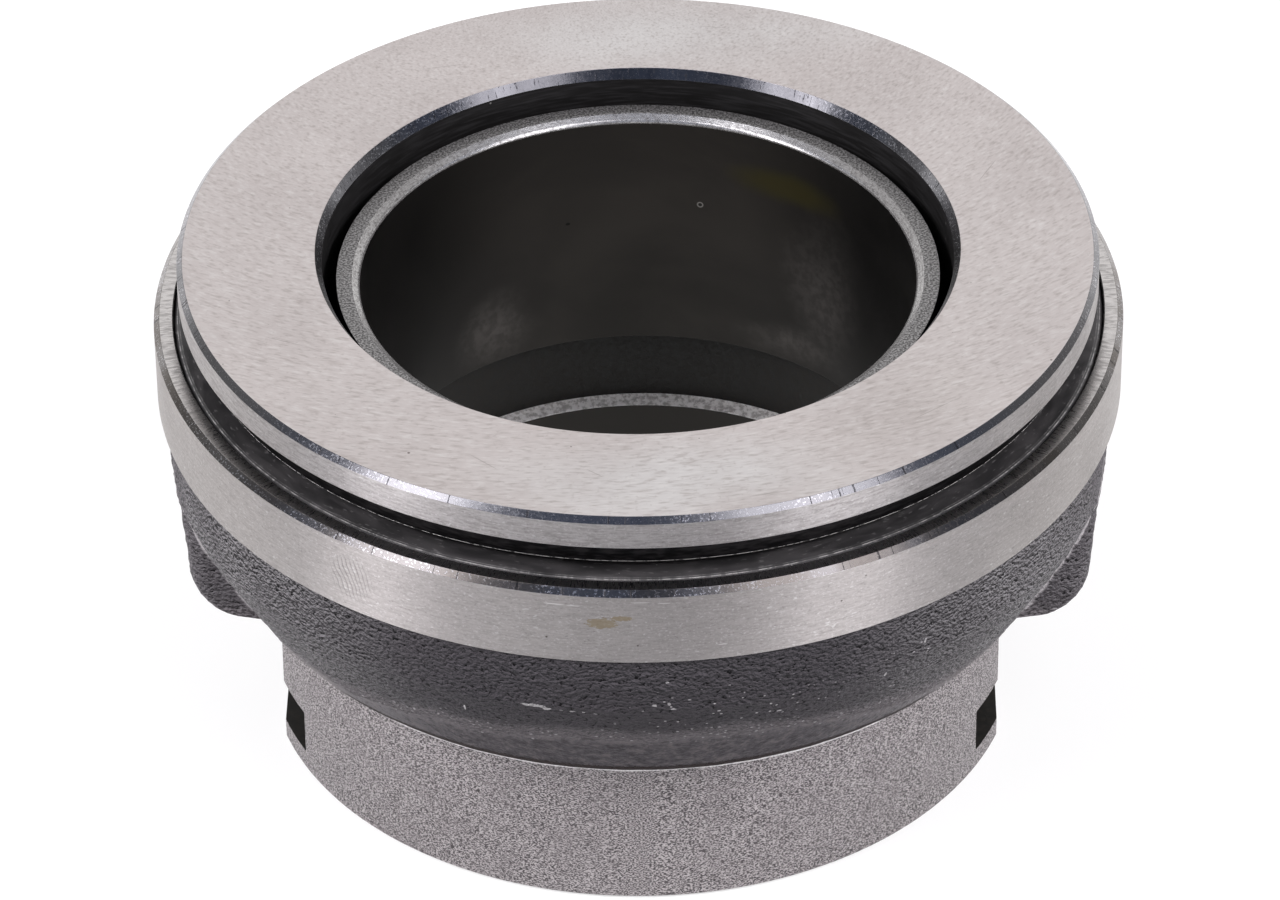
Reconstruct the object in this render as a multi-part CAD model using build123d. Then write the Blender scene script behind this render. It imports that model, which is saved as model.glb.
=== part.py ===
from build123d import *
import math
import os

# Clutch release bearing, millimetres, +Z from the gearbox end towards the thrust face.
# The origin is the centre of the bottom face, and the two fork lugs lie on the X axis.

# Radial build-up of the bearing, from the guide tube outwards
GUIDE_BORE_R = 30.0
SLEEVE_WALL = 2.55
HUB_GAP = 1.45
HUB_WALL = 1.85
BALL_D = 9.525
RACE_WALL = 1.85
CUP_WALL = 4.95

# Release body: tube, bowl and band, from the bottom up
TUBE_WALL = 11.65
TUBE_LENGTH = 18.5
TUBE_EDGE = 0.35
BOWL_FOOT_STEP = 2.65
BOWL_FOOT_RADIUS = 3.0
BOWL_CONE_HEIGHT = 14.8
BOWL_SHOULDER_HEIGHT = 7.0
BOWL_SHOULDER_RADIUS = 16.0
BAND_STEP = 0.15
BAND_HEIGHT = 9.05
BAND_CHAMFER = 0.62

# Cup that takes the bearing, measured down from its lip
CUP_DEPTH = 17.35
SEAL_SEAT_DEPTH = 3.35
SEAL_SEAT_STEP = 2.8

# Sleeve rim and guide bore
SLEEVE_RISE = 3.75
RIM_CHAMFER_WIDTH = 0.9
RIM_CHAMFER_DEPTH = 0.6
BORE_MOUTH_CHAMFER = 1.0
LOWER_LAND = 13.6
RELIEF_LENGTH = 9.7
RELIEF_DEPTH = 1.6
RELIEF_RAMP = 0.5

# Fork lugs, milled flats and clip grooves
LUG_SETBACK = 1.95
LUG_DRAFT = 4.4
LUG_HALF_WIDTH = 14.9
LUG_FLARE = 12.4
LUG_CORNER_RADIUS = 3.0
LUG_FOOT_RADIUS = 4.5
FLAT_DEPTH = 2.4
GROOVE_DEPTH = 2.5
GROOVE_LEG = 2.6
GROOVE_WIDTH = 5.4

# Thrust ring
RIM_INSET = 0.65
RIM_GAP = 3.55
RIM_THICKNESS = 3.7
RIM_OVERHANG = 1.65
SKIRT_WALL = 2.3
SKIRT_DROP = 2.9
FLANGE_THICKNESS = 5.2
FACE_CHAMFER = 0.62
FACE_BORE_CHAMFER_WIDTH = 0.7
FACE_BORE_CHAMFER_DEPTH = 1.07
EDGE_BREAK = 0.12

# Raceways and cage
BALL_COUNT = 20
GROOVE_CONFORMITY = 0.52
CONTACT_ANGLE = 45.0
RACE_WEB = 3.6
SNAP_LIP = 0.5
RACE_CHAMFER = 0.6
CAGE_WALL = 1.6
CAGE_OVERLAP = 1.84

# Seals
CASE_THICKNESS = 0.8
CASE_CORNER_RADIUS = 0.7
CASE_SUNK = 0.15
OUTER_LIP_REACH = 1.0
OUTER_LIP_BASE = 1.2
OUTER_LIP_TIP = 0.5
INNER_CASE_THICKNESS = 0.6
INNER_CASE_HEIGHT = 3.0
INNER_CASE_OVERHANG = 1.6
INNER_LIP_WIDTH = 1.1
INNER_LIP_HEIGHT = 1.3

# Clearances
CONTACT_GAP = 0.05
POCKET_GAP = 0.15
CAGE_GAP = 0.3
LIP_GAP = 0.3

# Raceway grooves: their centres are shifted along the line of contact, so that the balls run free
ball_r = BALL_D / 2
groove_r = GROOVE_CONFORMITY * BALL_D
groove_shift = groove_r - ball_r - CONTACT_GAP
shift_r = groove_shift * math.cos(math.radians(CONTACT_ANGLE))
shift_z = groove_shift * math.sin(math.radians(CONTACT_ANGLE))

# Radii, from the guide bore outwards
sleeve_r = GUIDE_BORE_R + SLEEVE_WALL
thrust_bore_r = sleeve_r + HUB_GAP
pitch_r = thrust_bore_r + HUB_WALL + groove_r - shift_r
cup_r = pitch_r - shift_r + groove_r + RACE_WALL
band_r = cup_r + CUP_WALL
bowl_r = band_r - BAND_STEP
tube_r = GUIDE_BORE_R + TUBE_WALL
foot_r = tube_r + BOWL_FOOT_STEP
seal_seat_r = cup_r + SEAL_SEAT_STEP
thrust_r = seal_seat_r - RIM_INSET
skirt_r = thrust_r - RIM_OVERHANG
skirt_bore_r = skirt_r - SKIRT_WALL
outer_case_r = skirt_bore_r - OUTER_LIP_REACH

# Levels of the release body, from the bottom face upwards
bowl_z = TUBE_LENGTH
cone_z = bowl_z + BOWL_CONE_HEIGHT
band_z = cone_z + BOWL_SHOULDER_HEIGHT
lip_z = band_z + BAND_HEIGHT
seal_seat_z = lip_z - SEAL_SEAT_DEPTH
floor_z = lip_z - CUP_DEPTH
sleeve_z = lip_z + SLEEVE_RISE
relief_top_z = LOWER_LAND + RELIEF_LENGTH

# Side planes of the forging, which lean in towards the foot
lug_reach_top = band_r - LUG_SETBACK
lug_reach_foot = lug_reach_top - (band_z - bowl_z) * math.tan(math.radians(LUG_DRAFT))

# Levels of the bearing in the cup
ball_z = floor_z + RACE_WEB + groove_r - shift_z
rim_z = lip_z + RIM_GAP
face_z = rim_z + RIM_THICKNESS
flange_z = face_z - FLANGE_THICKNESS
skirt_z = rim_z - SKIRT_DROP
case_top_z = lip_z - CASE_SUNK
inner_case_top_z = floor_z + INNER_CASE_THICKNESS
hub_z = inner_case_top_z + INNER_LIP_HEIGHT + LIP_GAP

# Shoulders beside the cage, and the low lips that the balls snap over
cage_inner_r = pitch_r - CAGE_WALL / 2
cage_outer_r = pitch_r + CAGE_WALL / 2
hub_shoulder_r = cage_inner_r - CAGE_GAP
race_shoulder_r = cage_outer_r + CAGE_GAP
hub_lip_r = pitch_r + shift_r - groove_r + SNAP_LIP
race_lip_r = pitch_r - shift_r + groove_r - SNAP_LIP


def section(*points):
    """A closed outline of (radius, height) points, standing on the XZ plane."""
    return Plane.XZ * make_face(Polyline(*points, close=True))


def turned(*points):
    """A ring or disc turned from an outline of (radius, height) points."""
    return revolve(section(*points), Axis.Z)


def disc(radius, low, high):
    """A plain round disc between two heights."""
    return Pos(0, 0, low) * Cylinder(radius, high - low, align=(Align.CENTER, Align.CENTER, Align.MIN))


def block(x_low, x_high, half_width, low, high):
    """A rectangular block, centred on the XZ plane."""
    return Pos(x_low, 0, low) * Box(
        x_high - x_low, 2 * half_width, high - low, align=(Align.MIN, Align.CENTER, Align.MIN)
    )


def both_sides(shape):
    """A shape and its copy on the opposite side of the bearing."""
    return shape + Rot(0, 0, 180) * shape


def forged_bowl():
    """The as-forged bowl: an upright shoulder, a cone and a round foot."""
    outline = section((0, bowl_z), (foot_r, bowl_z), (bowl_r, cone_z), (bowl_r, band_z), (0, band_z))
    shoulder = outline.vertices().sort_by_distance((bowl_r, 0, cone_z))[0]
    outline = fillet(shoulder, BOWL_SHOULDER_RADIUS)
    foot = outline.vertices().sort_by_distance((foot_r, 0, bowl_z))[0]
    outline = fillet(foot, BOWL_FOOT_RADIUS)
    return revolve(outline, Axis.Z)


def side_draft():
    """The slab between the two drafted side planes of the forging, which turn under at the foot."""
    outline = section(
        (-lug_reach_foot, bowl_z), (lug_reach_foot, bowl_z), (lug_reach_top, band_z), (-lug_reach_top, band_z)
    )
    feet = [vertex for vertex in outline.vertices() if vertex.Z < bowl_z + BOWL_FOOT_RADIUS]
    return extrude(fillet(feet, LUG_FOOT_RADIUS), band_r, both=True)


def lug_plan(reach, height):
    """The outline of one lug on +X at a height: flared sides and rounded outer corners."""
    root_x = tube_r - CUP_WALL
    root_half = LUG_HALF_WIDTH + (reach - root_x) * math.tan(math.radians(LUG_FLARE))
    plan = make_face(Polyline(
        (root_x, -root_half),
        (reach, -LUG_HALF_WIDTH),
        (reach, LUG_HALF_WIDTH),
        (root_x, root_half),
        close=True,
    ))
    corners = plan.vertices().sort_by(Axis.X)[-2:]
    return Pos(0, 0, height) * fillet(corners, LUG_CORNER_RADIUS)


def fork_lug():
    """One fork lug on +X: it narrows towards the foot with the drafted side plane."""
    plans = [lug_plan(lug_reach_foot, bowl_z), lug_plan(lug_reach_top, band_z)]
    return loft(plans, ruled=True) & side_draft()


def blank():
    """The forging with its turned band, tube and sleeve, still solid inside the cup."""
    band = disc(band_r, band_z, lip_z)
    band = chamfer(band.edges().sort_by(Axis.Z)[-1], BAND_CHAMFER)
    tube = disc(tube_r, 0, bowl_z)
    tube = chamfer(tube.edges().sort_by(Axis.Z)[0], TUBE_EDGE)
    forging = (forged_bowl() & side_draft()) + both_sides(fork_lug())
    return tube + forging + band + disc(sleeve_r, lip_z, sleeve_z)


def cup_cavity():
    """The space for the bearing round the sleeve, with the wider seat for the outer seal."""
    return turned(
        (sleeve_r, floor_z), (cup_r, floor_z), (cup_r, seal_seat_z),
        (seal_seat_r, seal_seat_z), (seal_seat_r, lip_z), (sleeve_r, lip_z),
    )


def guide_bore():
    """The bore for the guide tube: two lands with a grease relief between them."""
    relief_r = GUIDE_BORE_R + RELIEF_DEPTH
    return turned(
        (0, 0),
        (GUIDE_BORE_R + BORE_MOUTH_CHAMFER, 0),
        (GUIDE_BORE_R, BORE_MOUTH_CHAMFER),
        (GUIDE_BORE_R, LOWER_LAND),
        (relief_r, LOWER_LAND + RELIEF_RAMP),
        (relief_r, relief_top_z),
        (GUIDE_BORE_R, relief_top_z),
        (GUIDE_BORE_R, sleeve_z - RIM_CHAMFER_DEPTH),
        (GUIDE_BORE_R + RIM_CHAMFER_WIDTH, sleeve_z),
        (0, sleeve_z),
    )


def fork_side_cut():
    """What is milled off the tube on +X: a flat for the fork and a groove for its clip."""
    flat_x = tube_r - FLAT_DEPTH
    flat = block(flat_x, band_r, band_r, 0, bowl_z)
    groove = block(flat_x - GROOVE_DEPTH, band_r, band_r, GROOVE_LEG, GROOVE_LEG + GROOVE_WIDTH)
    return flat + groove


def release_body():
    """The forged and machined body that slides on the guide tube."""
    return blank() - cup_cavity() - guide_bore() - both_sides(fork_side_cut())


def raceway(radius, height):
    """The ring-shaped groove that a ball runs in, with the centre of its section here."""
    return Pos(0, 0, height) * Torus(radius, groove_r)


def stationary_race():
    """The hardened ring pressed into the cup, with the lower outer raceway."""
    centre_z = ball_z + shift_z
    ring = turned(
        (race_shoulder_r, floor_z),
        (cup_r - RACE_CHAMFER, floor_z),
        (cup_r, floor_z + RACE_CHAMFER),
        (cup_r, seal_seat_z),
        (race_lip_r, seal_seat_z),
        (race_lip_r, centre_z),
        (race_shoulder_r, centre_z),
    )
    return ring - raceway(pitch_r - shift_r, centre_z)


def thrust_ring():
    """The rotating ring: ground face, rim, skirt, and the hub with the upper inner raceway."""
    centre_z = ball_z - shift_z
    ring = turned(
        (thrust_bore_r + EDGE_BREAK, hub_z),
        (hub_lip_r, hub_z),
        (hub_lip_r, centre_z),
        (hub_shoulder_r, centre_z),
        (hub_shoulder_r, flange_z),
        (skirt_bore_r, flange_z),
        (skirt_bore_r, skirt_z),
        (skirt_r - EDGE_BREAK, skirt_z),
        (skirt_r, skirt_z + EDGE_BREAK),
        (skirt_r, rim_z),
        (thrust_r - EDGE_BREAK, rim_z),
        (thrust_r, rim_z + EDGE_BREAK),
        (thrust_r, face_z - FACE_CHAMFER),
        (thrust_r - FACE_CHAMFER, face_z),
        (thrust_bore_r + FACE_BORE_CHAMFER_WIDTH, face_z),
        (thrust_bore_r, face_z - FACE_BORE_CHAMFER_DEPTH),
        (thrust_bore_r, hub_z + EDGE_BREAK),
    )
    return ring - raceway(pitch_r + shift_r, centre_z)


def ball(index):
    """One ball at its place on the ball circle."""
    return Rot(0, 0, 360 * index / BALL_COUNT) * Pos(pitch_r, 0, ball_z) * Sphere(ball_r)


def ball_cage():
    """The window cage: a plain ring with a round pocket for each ball."""
    low = ball_z - ball_r - CAGE_OVERLAP
    high = ball_z + ball_r + CAGE_OVERLAP
    cage = turned((cage_inner_r, low), (cage_outer_r, low), (cage_outer_r, high), (cage_inner_r, high))
    pocket = Pos(pitch_r, 0, ball_z) * Rot(0, 90, 0) * Cylinder(ball_r + POCKET_GAP, 3 * CAGE_WALL)
    return cage - [Rot(0, 0, 360 * index / BALL_COUNT) * pocket for index in range(BALL_COUNT)]


def outer_seal_case():
    """The pressed steel ring in the mouth of the cup, its face just under the lip."""
    outline = section(
        (seal_seat_r, seal_seat_z),
        (seal_seat_r, case_top_z),
        (outer_case_r, case_top_z),
        (outer_case_r, case_top_z - CASE_THICKNESS),
        (seal_seat_r - CASE_THICKNESS, case_top_z - CASE_THICKNESS),
        (seal_seat_r - CASE_THICKNESS, seal_seat_z),
    )
    corner = outline.vertices().sort_by_distance((seal_seat_r, 0, case_top_z))[0]
    return revolve(fillet(corner, CASE_CORNER_RADIUS), Axis.Z)


def outer_seal_lip():
    """The rubber ring on the inner edge of the outer case, its lip reaching up inside the skirt."""
    tip_r = skirt_bore_r - LIP_GAP
    tip_z = flange_z - LIP_GAP
    return turned(
        (outer_case_r - OUTER_LIP_BASE, case_top_z - CASE_THICKNESS),
        (outer_case_r, case_top_z - CASE_THICKNESS),
        (outer_case_r, case_top_z),
        (tip_r, tip_z - OUTER_LIP_TIP),
        (tip_r, tip_z),
        (tip_r - OUTER_LIP_TIP, tip_z),
        (outer_case_r - OUTER_LIP_BASE, case_top_z),
    )


def inner_seal_case():
    """The pressed steel ring on the foot of the sleeve."""
    edge_r = hub_lip_r + INNER_CASE_OVERHANG
    return turned(
        (sleeve_r, floor_z),
        (edge_r, floor_z),
        (edge_r, inner_case_top_z),
        (sleeve_r + INNER_CASE_THICKNESS, inner_case_top_z),
        (sleeve_r + INNER_CASE_THICKNESS, floor_z + INNER_CASE_HEIGHT),
        (sleeve_r, floor_z + INNER_CASE_HEIGHT),
    )


def inner_seal_lip():
    """The rubber ring on the inner case, its lip running under the hub of the thrust ring."""
    inner_r = hub_lip_r - INNER_LIP_WIDTH
    tip_z = inner_case_top_z + INNER_LIP_HEIGHT
    return turned(
        (inner_r, inner_case_top_z),
        (hub_lip_r, inner_case_top_z),
        (hub_lip_r, tip_z),
        ((inner_r + hub_lip_r) / 2, tip_z),
    )


pieces = {
    "release_body": release_body(),
    "stationary_race": stationary_race(),
    "thrust_ring": thrust_ring(),
    "ball_cage": ball_cage(),
    "outer_seal_case": outer_seal_case(),
    "outer_seal_lip": outer_seal_lip(),
    "inner_seal_case": inner_seal_case(),
    "inner_seal_lip": inner_seal_lip(),
}
for number in range(BALL_COUNT):
    pieces[f"ball_{number + 1:02d}"] = ball(number)

os.makedirs("parts", exist_ok=True)
for name, piece in pieces.items():
    export_step(piece, f"parts/{name}.step")
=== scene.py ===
import math

import bmesh
import bpy
import numpy as np
from mathutils import Matrix, Vector, noise


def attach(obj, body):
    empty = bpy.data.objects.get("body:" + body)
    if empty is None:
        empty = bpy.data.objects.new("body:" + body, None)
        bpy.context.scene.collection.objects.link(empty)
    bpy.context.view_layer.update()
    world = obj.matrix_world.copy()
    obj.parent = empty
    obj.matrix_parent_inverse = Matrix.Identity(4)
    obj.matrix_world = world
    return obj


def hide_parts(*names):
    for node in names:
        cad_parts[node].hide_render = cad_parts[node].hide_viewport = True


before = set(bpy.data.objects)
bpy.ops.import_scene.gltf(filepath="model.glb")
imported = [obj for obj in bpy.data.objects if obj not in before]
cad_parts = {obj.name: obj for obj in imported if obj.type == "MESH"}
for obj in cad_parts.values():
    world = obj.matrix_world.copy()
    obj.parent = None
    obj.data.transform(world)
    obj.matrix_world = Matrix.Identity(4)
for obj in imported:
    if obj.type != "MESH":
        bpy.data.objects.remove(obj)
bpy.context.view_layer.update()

# Sizes in millimetres, as the solids have them but for the bowl's tucked-in foot; meshes are in metres
MM = 0.001

GUIDE_BORE = 30.0
SLEEVE = 32.55
CUP = 47.407
SEAL_SEAT = 50.207
BAND = 52.34
BOWL = 52.207
BOWL_FOOT = 43.85
TUBE = 41.65
FLAT_X = 39.25
GROOVE_X = 36.75

TUBE_TOP = 18.5
CONE_TOP = 33.3
BAND_FOOT = 40.3
LIP = 49.35
SEAL_SEAT_Z = 46.0
CUP_FLOOR = 32.0
SLEEVE_TOP = 53.1
LOWER_LAND = 13.6
RELIEF_TOP = 23.3
RELIEF = 31.6
GROOVE_FOOT = 2.6
GROOVE_HEAD = 8.0

TUBE_EDGE = 0.35
BAND_CHAMFER = 0.62
BAND_BURR = 0.12
SHOULDER_ROUND = 16.0
FOOT_ROUND = 4.0
RIM_CHAMFER = (0.9, 0.6)
RIM_ROUNDS = (0.3, 0.5)
MOUTH_CHAMFER = 1.0
RELIEF_RAMP = 0.5

REACH_FOOT = 48.73
LUG_DRAFT = math.radians(4.4)
LUG_HALF = 14.9
LUG_FLARE = math.radians(12.4)
LUG_CORNER_ROUND = 3.0
LUG_FOOT_ROUND = 4.5
LUG_ROOT_BLEND = 0.6
LUG_EDGE_BLEND = 0.3
SIDE_BLEND = 0.9

# The raised seam that the dies left along the root of each lug, and the step round the foot of the bowl
SEAM_HEIGHT = 0.18
SEAM_WIDTH = 0.8
SEAM_FADE = 0.4
SEAM_RUNOUT = 3.0
STEP_Z = 28.4
STEP_FALL = 11.0
STEP_DEPTH = 0.12
STEP_WIDTH = 1.2
STEP_DRIFT = (1.5, 0.15)

# The uneven surface: each layer's height, and its features a millimetre round and up the axis
WAVES = (0.07, 0.3)
LUMPS = (0.10, 0.9, 1.5)
FINE_LUMPS = (0.06, 1.7, 2.6)
CALM_BELOW = 0.7
EVEN_EDGE = 0.6

THRUST_BORE = 34.0
THRUST = 49.557
FACE = 56.6
RIM_FOOT = 52.9
FLANGE_FOOT = 51.4
SKIRT = 47.907
SKIRT_BORE = 45.607
SKIRT_FOOT = 50.0
HUB_FOOT = 34.2
HUB_LIP = 36.35
HUB_SHOULDER = 39.604
FACE_CHAMFER = 0.62
BORE_CHAMFER = (0.7, 1.07)
EDGE_BREAK = 0.12
RACE_CENTRE = (40.803, 40.354)
RACE_ROUND = 4.953

CASE_TOP = 49.2
CASE_INNER = 44.607
CASE_SHEET = 0.8
CASE_ROUND = 0.7

EDGE_ROUND = 0.06

# Meshes: the stations beside a round, the step along it, and how many columns and rows the rings have
SUPPORT = 0.05
ARC_STEP = math.radians(20)
TURNED_COLUMNS = 720
FORGED_COLUMNS = 1200
ROOT_SINES = (0.22, 0.40)
ROOT_CROWDING = 4.0
FOOT_LEVELS = 12
BOWL_LEVELS = 60
RACE_STATIONS = 24

# The forged skin laps behind the band and over the tube, where nothing shows
HIDDEN_INSET = 4.0
LEDGE_INSET = 3.0
LEDGE_SHEET = 1.0
UNDERLAP = 0.3
BOWL_OVERRUN = 1.0
FORGED_WALL = 1.2
CUP_WALL = 1.8
SKIN_INSET = 0.05

# Least cosine that a flat side is worked out for, and the cosine past which a point lies beside a lug
NEAR_FRONT = 0.2
LUG_SIDE = 0.7

# Materials: the centre of the grinding arcs in millimetres, and the forged lumps in metres, with the shift up
# the axis that sets their painted light and shade
GRINDING_CENTRE = (-9.0, 60.0)
LUMP_SIZE = (0.00049, 0.00049, 0.00038)
LIT_SHIFT = 0.0001
ACROSS_GROOVES = 0.25

# Camera, from the outline of the rings in the photograph
CAMERA_AIM_Z = 29.15
CAMERA_DISTANCE = 751.9
CAMERA_AZIMUTH = math.radians(0.9)
CAMERA_ELEVATION = math.radians(36.208)
CAMERA_ROLL = math.radians(-0.648)
CAMERA_LENS = 192.6

# Stage and light, as radiances where 1 is white
FLOOR_RADIUS = 6.0
FLOOR_DROP = 0.00005
FLOOR_TONE = 0.4
FLOOR_GLOW = 0.62
# In the mirrors the floor glows less in front of the part: a painted shade for its shadow there
FLOOR_GLOW_MIRRORED = (0.22, 0.64)
FLOOR_GLOW_RANGE = (-0.100, -0.015)
AMBIENT_FRONT = 0.08
AMBIENT_BACK = 0.4
AMBIENT_RANGE = (-0.7, 0.5)
HORIZON_RANGE = (0.10, 0.20)
DIM = (0.080, 0.104, 0.160)
SIDE_TONE = 0.2
SIDE_RANGE = (-0.2, 0.3)
PANEL_TONE = 1.02
PANEL_DIRECTION = Vector((0, 0.807, 0.59)).normalized()
PANEL_RANGE = (0.74, 0.93)
LAMP_TINT = (0.99, 0.97, 1.0)
LAMP_RIGHT = {"azimuth": 46.5, "elevation": 36, "distance": 1.2, "size": (0.60, 1.68), "glow": 2.15}
LAMP_LEFT = {"azimuth": -59, "elevation": 36, "distance": 1.2, "size": (0.41, 1.68), "glow": 3.1}
KEY_RIGHT = {"azimuth": 72, "elevation": 40, "distance": 1.2, "size": (0.4, 0.4), "glow": 22}
KEY_LEFT = {"azimuth": -72, "elevation": 40, "distance": 1.2, "size": (0.4, 0.4), "glow": 22}


# Meshes

def rounded(corners, closed=True):
    """Stations (radius, height, material) along an outline of corners (radius, height, round, material).

    The material belongs to the stretch that starts at the corner.
    """
    stations = []
    count = len(corners)
    for i, (r, z, radius, material) in enumerate(corners):
        before = np.array(corners[i - 1][:2]) - (r, z)
        after = np.array(corners[(i + 1) % count][:2]) - (r, z)
        material_before = corners[i - 1][3]
        if radius == 0 or (not closed and i in (0, count - 1)):
            stations.append((r, z, material))
            continue
        room = min(np.linalg.norm(before), np.linalg.norm(after))
        before /= np.linalg.norm(before)
        after /= np.linalg.norm(after)
        turn = math.pi - math.acos(np.clip(before @ after, -1, 1))
        tangent = min(radius * math.tan(turn / 2), 0.45 * room)
        radius = tangent / math.tan(turn / 2)
        centre = (r, z) + (before + after) / np.linalg.norm(before + after) * radius / math.cos(turn / 2)
        start = (r, z) + before * tangent - centre
        side = (r, z) + after * tangent - centre
        side -= start * (side @ start) / (start @ start)
        side *= np.linalg.norm(start) / np.linalg.norm(side)
        if room > 2 * tangent + 3 * SUPPORT:
            stations.append((*((r, z) + before * (tangent + SUPPORT)), material_before))
        steps = max(2, math.ceil(turn / ARC_STEP))
        for step in range(steps + 1):
            angle = turn * step / steps
            point = centre + start * math.cos(angle) + side * math.sin(angle)
            stations.append((*point, material if step == steps else material_before))
        if room > 2 * tangent + 3 * SUPPORT:
            stations.append((*((r, z) + after * (tangent + SUPPORT)), material))
    return stations


def split_angles(count, marks=()):
    """Evenly spaced angles round the axis, the nearest ones moved on to the marks."""
    angles = np.arange(count) * 2 * math.pi / count
    for angle in marks:
        angle %= 2 * math.pi
        angles[np.argmin(np.abs(angles - angle))] = angle
    return np.sort(angles)


def crowded_angles(count):
    """Angles round the axis, closer together where the lugs leave the bowl."""
    fine = np.linspace(0, 2 * math.pi, 6 * count + 1)
    sideways = np.abs(np.sin(fine))
    at_root = (sideways > ROOT_SINES[0]) & (sideways < ROOT_SINES[1])
    passed = np.concatenate([[0], np.cumsum(np.where(at_root, ROOT_CROWDING, 1.0)[:-1])])
    return np.interp(np.arange(count) * passed[-1] / count, passed, fine)


def lathe(name, stations, angles, materials, body, node, smooth_angle=32, worn=None):
    """A closed ring mesh of stations (radius, height, material number), each value a number or an array.

    The worn values, one for each point, go to an attribute that the materials read.
    """
    radii, heights, numbers = (
        np.array([np.broadcast_to(station[i], angles.shape) for station in stations]) for i in range(3)
    )
    rows, columns = radii.shape
    points = np.stack([radii * np.cos(angles), radii * np.sin(angles), heights], -1).reshape(-1, 3)
    row, column = np.meshgrid(np.arange(rows), np.arange(columns), indexing="ij")
    next_row, next_column = (row + 1) % rows, (column + 1) % columns
    quads = np.stack([
        row * columns + column,
        row * columns + next_column,
        next_row * columns + next_column,
        next_row * columns + column,
    ], -1).reshape(-1, 4)
    mean_r, mean_z = radii.mean(1), heights.mean(1)
    area = np.sum(mean_r * np.roll(mean_z, -1) - np.roll(mean_r, -1) * mean_z)
    if area < 0:
        quads = quads[:, ::-1]
    mesh = bpy.data.meshes.new(name)
    mesh.from_pydata((points * MM).tolist(), [], quads.tolist())
    mesh.polygons.foreach_set("material_index", numbers.reshape(-1).astype(np.int32))
    if worn is not None:
        layer = mesh.attributes.new("worn", "FLOAT", "POINT")
        layer.data.foreach_set("value", worn.reshape(-1).astype(np.float32))
    shell = bmesh.new()
    shell.from_mesh(mesh)
    bmesh.ops.remove_doubles(shell, verts=shell.verts, dist=1e-7)
    shell.to_mesh(mesh)
    shell.free()
    mesh.shade_smooth()
    mesh.set_sharp_from_angle(angle=math.radians(smooth_angle))
    for material in materials:
        mesh.materials.append(material)
    piece = bpy.data.objects.new(name, mesh)
    bpy.context.scene.collection.objects.link(piece)
    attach(piece, body)
    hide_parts(node)
    return piece


def smaller(a, b, blend):
    """The smaller of two values, with the corner between them rounded off over a width of blend."""
    share = np.clip(0.5 + 0.5 * (b - a) / blend, 0, 1)
    return b + (a - b) * share - blend * share * (1 - share)


def larger(a, b, blend):
    """The larger of two values, with the corner between them filled over a width of blend."""
    return -smaller(-a, -b, blend)


# Node graphs

def colour(red, green, blue):
    """A colour from its 8-bit screen values."""
    channels = [((c / 255 + 0.055) / 1.055) ** 2.4 if c > 10 else c / 255 / 12.92 for c in (red, green, blue)]
    return (*channels, 1.0)


def grey(tone):
    return (tone, tone, tone, 1.0)


def mark(angle, radius, height, size):
    """A mark's place, half-sizes and turn, at an angle in degrees from the front, positive to the right."""
    a = math.radians(angle)
    return (radius * math.sin(a), -radius * math.cos(a), height), size, angle


class Graph:
    """A node graph; its methods return the outputs that feed the next node."""

    def __init__(self, tree, coordinates):
        self.nodes = tree.nodes
        self.links = tree.links
        self.place = self.nodes.new("ShaderNodeTexCoord").outputs[coordinates]
        self.x, self.y, self.z = self.split(self.place)

    def feed(self, socket, value):
        """Links an output to a socket, or sets the socket to a constant."""
        if isinstance(value, bpy.types.NodeSocket):
            self.links.new(value, socket)
        else:
            socket.default_value = value

    def math(self, operation, a, b=0.0):
        node = self.nodes.new("ShaderNodeMath")
        node.operation = operation
        self.feed(node.inputs[0], a)
        self.feed(node.inputs[1], b)
        return node.outputs[0]

    def times(self, *factors):
        product = factors[0]
        for factor in factors[1:]:
            product = self.math("MULTIPLY", product, factor)
        return product

    def split(self, vector):
        node = self.nodes.new("ShaderNodeSeparateXYZ")
        self.links.new(vector, node.inputs[0])
        return node.outputs

    def ramp(self, value, low, high, to_low=0.0, to_high=1.0):
        """The value carried smoothly from one range to another, and held at its ends."""
        node = self.nodes.new("ShaderNodeMapRange")
        node.interpolation_type = "SMOOTHSTEP"
        self.links.new(value, node.inputs["Value"])
        for socket, number in zip(node.inputs[1:5], (low, high, to_low, to_high)):
            socket.default_value = number
        return node.outputs["Result"]

    def band(self, value, start, full, fade, end):
        """1 between full and fade, and 0 before the start and past the end."""
        return self.times(self.ramp(value, start, full), self.ramp(value, fade, end, 1.0, 0.0))

    def mix(self, factor, a, b):
        """Colour a where the factor is 0 and colour b where it is 1."""
        node = self.nodes.new("ShaderNodeMix")
        node.data_type = "RGBA"
        for name, value in (("Factor", factor), ("A", a), ("B", b)):
            self.feed(node.inputs[name], value)
        return node.outputs["Result"]


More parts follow.
